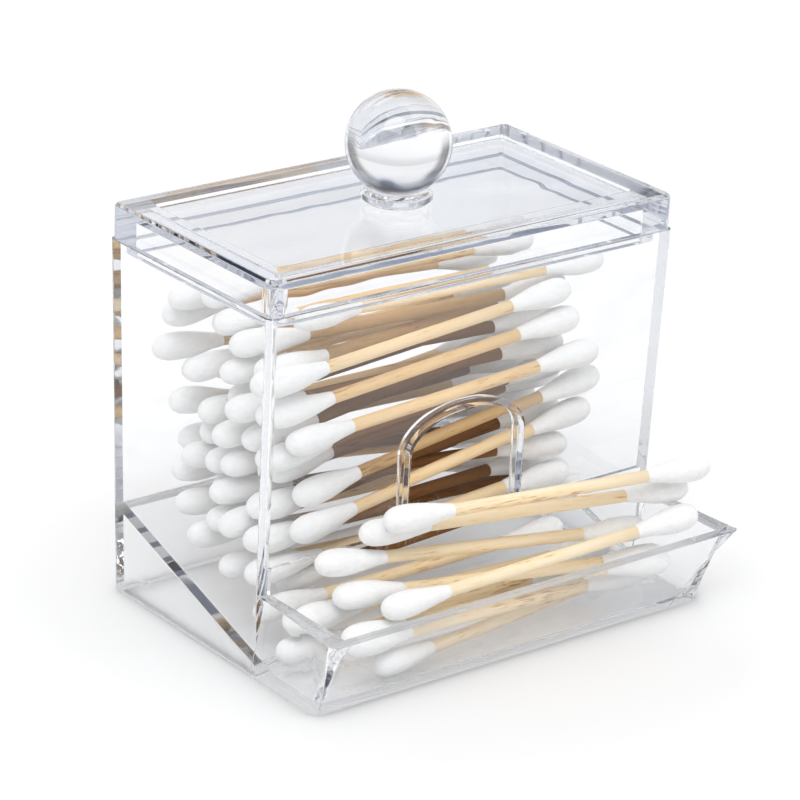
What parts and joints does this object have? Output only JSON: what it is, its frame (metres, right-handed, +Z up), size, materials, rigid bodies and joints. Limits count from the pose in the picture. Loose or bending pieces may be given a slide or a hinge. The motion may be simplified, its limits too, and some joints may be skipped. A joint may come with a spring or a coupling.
{
  "type": "cotton swab organizer",
  "caption": "Clear box with a sloped floor, a finger arch and an open front tray, a lift-off lid with a ball knob, filled with wooden-stick cotton swabs.",
  "frame": {"origin": "middle of the footprint, tray included, on the surface it stands on", "axes": "+X to the right as seen from the tray, +Y to the back, +Z up; the tray faces -Y"},
  "size_m": [0.097, 0.0756, 0.1002],
  "materials": {
    "clear_acrylic_container": "clear, polished",
    "clear_acrylic_lid": "clear, polished",
    "clear_acrylic_knob": "clear, polished",
    "birch_sticks": "plain, smooth",
    "cotton_buds": "soft wound cotton"
  },
  "bodies": {
    "container": {"container": "clear_acrylic_container", "heap_layer_1_buds": "cotton_buds", "heap_layer_1_sticks": "birch_sticks", "heap_layer_2_buds": "cotton_buds", "heap_layer_2_sticks": "birch_sticks", "heap_layer_3_buds": "cotton_buds", "heap_layer_3_sticks": "birch_sticks", "heap_layer_4_buds": "cotton_buds", "heap_layer_4_sticks": "birch_sticks", "heap_layer_5_buds": "cotton_buds", "heap_layer_5_sticks": "birch_sticks", "heap_layer_6_buds": "cotton_buds", "heap_layer_6_sticks": "birch_sticks", "heap_layer_7_buds": "cotton_buds", "heap_layer_7_sticks": "birch_sticks", "heap_layer_8_buds": "cotton_buds", "heap_layer_8_sticks": "birch_sticks", "tray_swab_1_buds": "cotton_buds", "tray_swab_1_stick": "birch_sticks", "tray_swab_2_buds": "cotton_buds", "tray_swab_2_stick": "birch_sticks", "tray_swab_3_buds": "cotton_buds", "tray_swab_3_stick": "birch_sticks", "tray_swab_4_buds": "cotton_buds", "tray_swab_4_stick": "birch_sticks", "tray_swab_5_buds": "cotton_buds", "tray_swab_5_stick": "birch_sticks", "tray_swab_6_buds": "cotton_buds", "tray_swab_6_stick": "birch_sticks", "tray_swab_7_buds": "cotton_buds", "tray_swab_7_stick": "birch_sticks", "tray_swab_8_buds": "cotton_buds", "tray_swab_8_stick": "birch_sticks", "tray_swab_9_buds": "cotton_buds", "tray_swab_9_stick": "birch_sticks"},
    "lid": {"lid": "clear_acrylic_lid", "knob": "clear_acrylic_knob"}
  },
  "joints": [
    {"name": "lid_lift", "type": "slide", "parent": "container", "child": "lid", "axis": [0, 0, 1], "range_m": [0, 0.05]}
  ]
}
